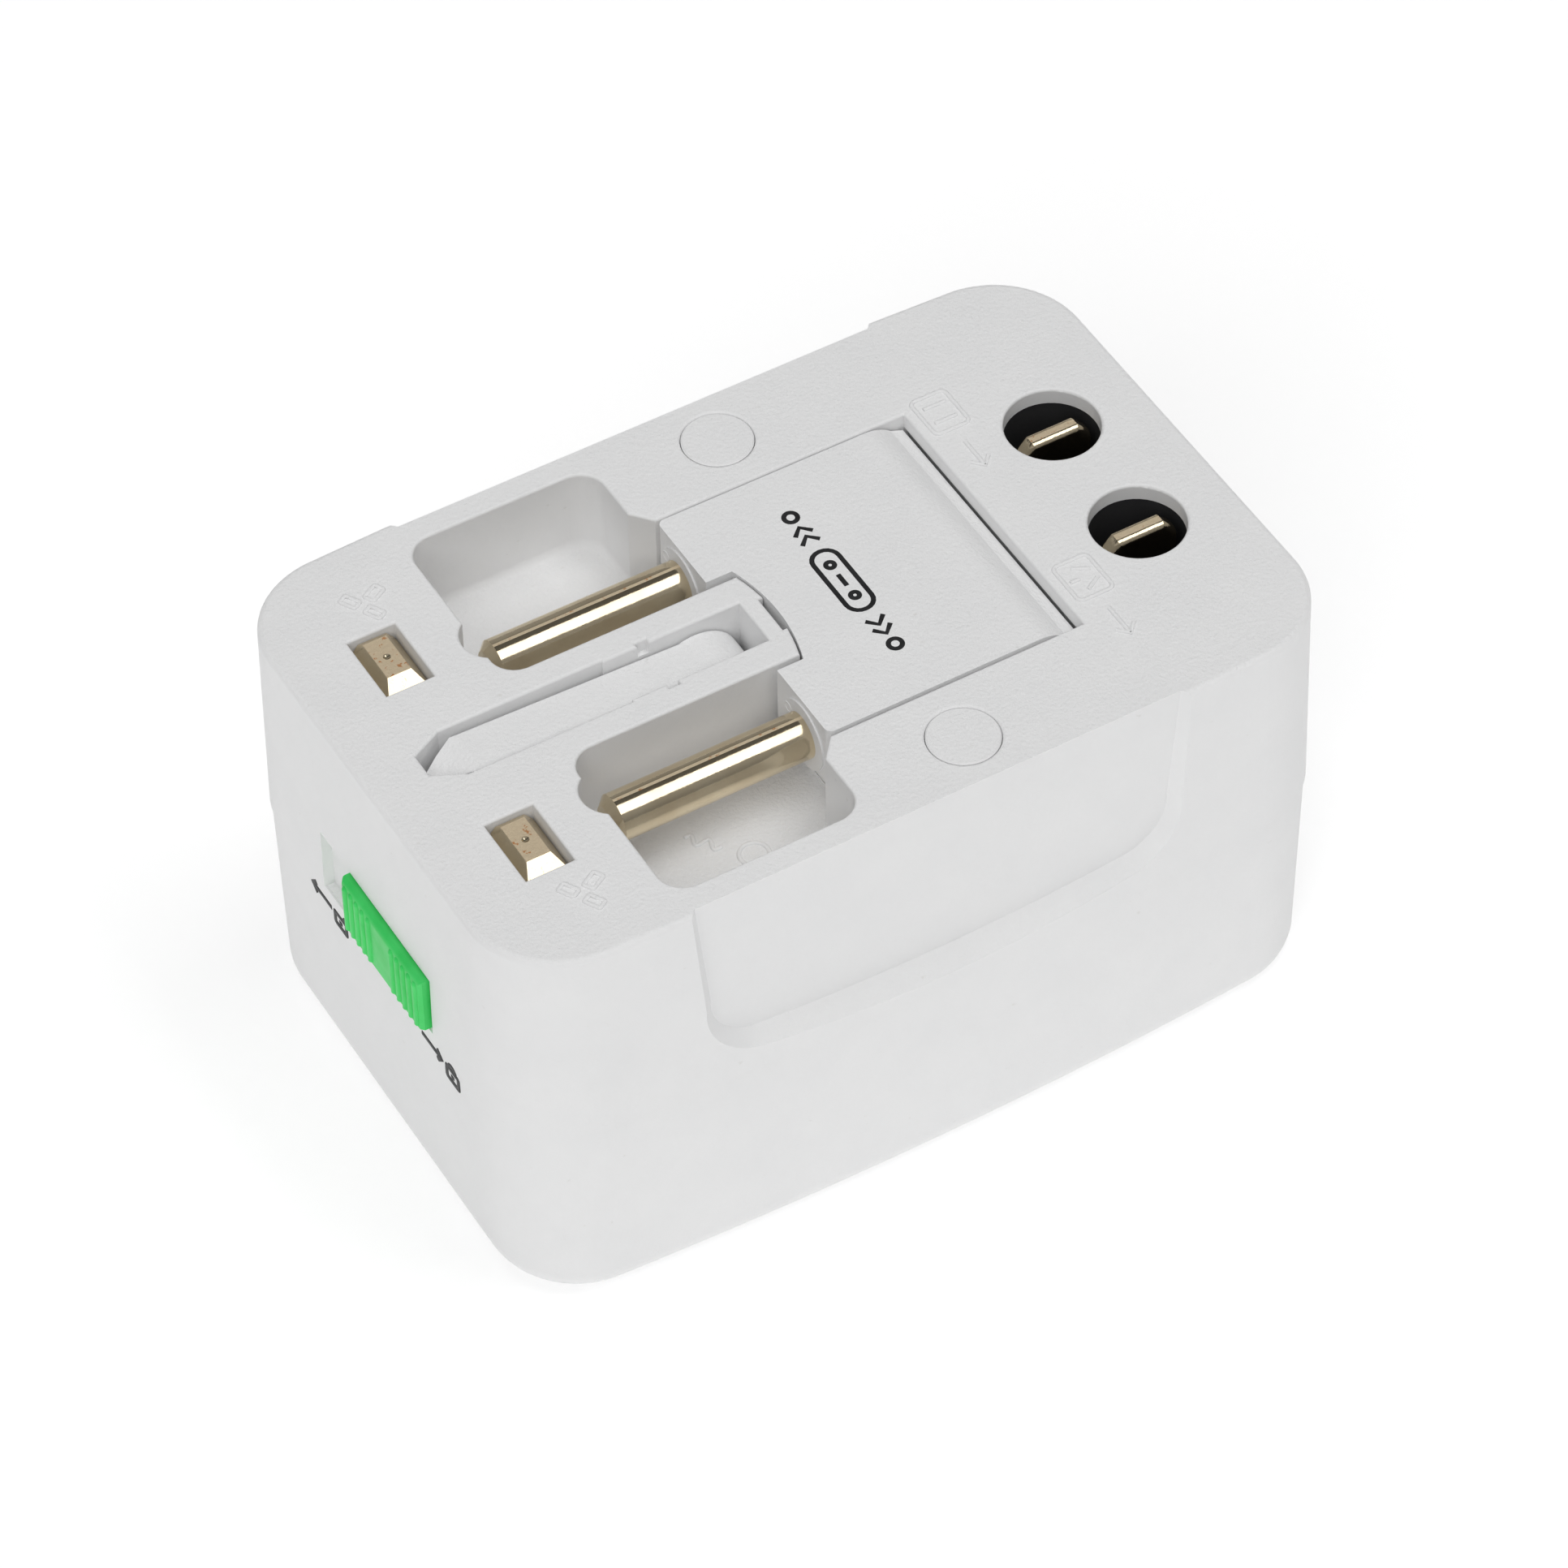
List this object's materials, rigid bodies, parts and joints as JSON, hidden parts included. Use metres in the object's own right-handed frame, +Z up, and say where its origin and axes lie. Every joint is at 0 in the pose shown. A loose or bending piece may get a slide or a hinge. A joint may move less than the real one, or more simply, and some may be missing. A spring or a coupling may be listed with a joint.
{
  "type": "universal travel adapter",
  "caption": "Pocket-sized travel adapter with sliding rectangular pins, sliding turnable flat blades, a swing-out round-pin block, a fold-out earth pin and a lock slider.",
  "frame": {"origin": "centre of the socket face that it stands on", "axes": "+Z up out of the plug face, +X towards the flat blades, lock slider on the -X end"},
  "size_m": [0.0756, 0.0508, 0.0404],
  "materials": {
    "white_shell": "moulded, fine spark-eroded grain",
    "inner_white": "smooth moulded",
    "black_plastic": "satin moulded",
    "green_plastic": "satin moulded",
    "plated_pin": "bright nickel plate over brass",
    "contact_brass": "stamped strip",
    "steel": "bright zinc plate"
  },
  "bodies": {
    "housing": {"upper_shell": "white_shell", "lower_shell": "white_shell", "socket_plate": "white_shell", "screw_caps": "white_shell", "housing_screws": "steel", "contact_carrier": "inner_white", "live_contact": "contact_brass", "neutral_contact": "contact_brass", "contact_rivets": "contact_brass", "blade_guide": "black_plastic", "eu_axle": "steel", "earth_axle": "steel", "eu_wipers": "contact_brass", "shutter_spring": "steel"},
    "shutter": {"socket_shutter": "inner_white"},
    "eu_plug": {"eu_block": "white_shell", "eu_pin_live": "plated_pin", "eu_pin_neutral": "plated_pin"},
    "earth": {"earth_pin": "white_shell"},
    "uk_plug": {"uk_carriage": "inner_white", "uk_pin_live": "plated_pin", "uk_pin_neutral": "plated_pin"},
    "us_plug": {"us_carriage": "black_plastic"},
    "blade_live": {"us_turret_live": "black_plastic", "us_blade_live": "plated_pin"},
    "blade_neutral": {"us_turret_neutral": "black_plastic", "us_blade_neutral": "plated_pin"},
    "lock": {"lock_slider": "green_plastic", "lock_plate": "green_plastic"}
  },
  "joints": [
    {"name": "eu_swing", "type": "hinge", "parent": "housing", "child": "eu_plug", "pos_m": [0.0152, 0, 0.03685], "axis": [0, 1, 0], "range_deg": [0, 90]},
    {"name": "earth_swing", "type": "hinge", "parent": "housing", "child": "earth", "pos_m": [-0.007, 0, 0.0352], "axis": [0, 1, 0], "range_deg": [0, 88]},
    {"name": "uk_slide", "type": "slide", "parent": "housing", "child": "uk_plug", "axis": [0, 0, 1], "range_m": [0, 0.018]},
    {"name": "us_slide", "type": "slide", "parent": "housing", "child": "us_plug", "axis": [0, 0, 1], "range_m": [0, 0.0175]},
    {"name": "blade_live_turn", "type": "hinge", "parent": "us_plug", "child": "blade_live", "pos_m": [0.0286, 0.00635, 0.009], "axis": [0, 0, 1], "range_deg": [0, 30]},
    {"name": "blade_neutral_turn", "type": "hinge", "parent": "us_plug", "child": "blade_neutral", "pos_m": [0.0286, -0.00635, 0.009], "axis": [0, 0, 1], "range_deg": [-30, 0]},
    {"name": "lock_slide", "type": "slide", "parent": "housing", "child": "lock", "axis": [0, 1, 0], "range_m": [0, 0.0046]},
    {"name": "shutter_slide", "type": "slide", "parent": "housing", "child": "shutter", "axis": [1, 0, 0], "range_m": [0, 0.0072], "stiffness_N_per_m": 60, "springref_m": -0.002, "deforming": ["shutter_spring"]}
  ]
}
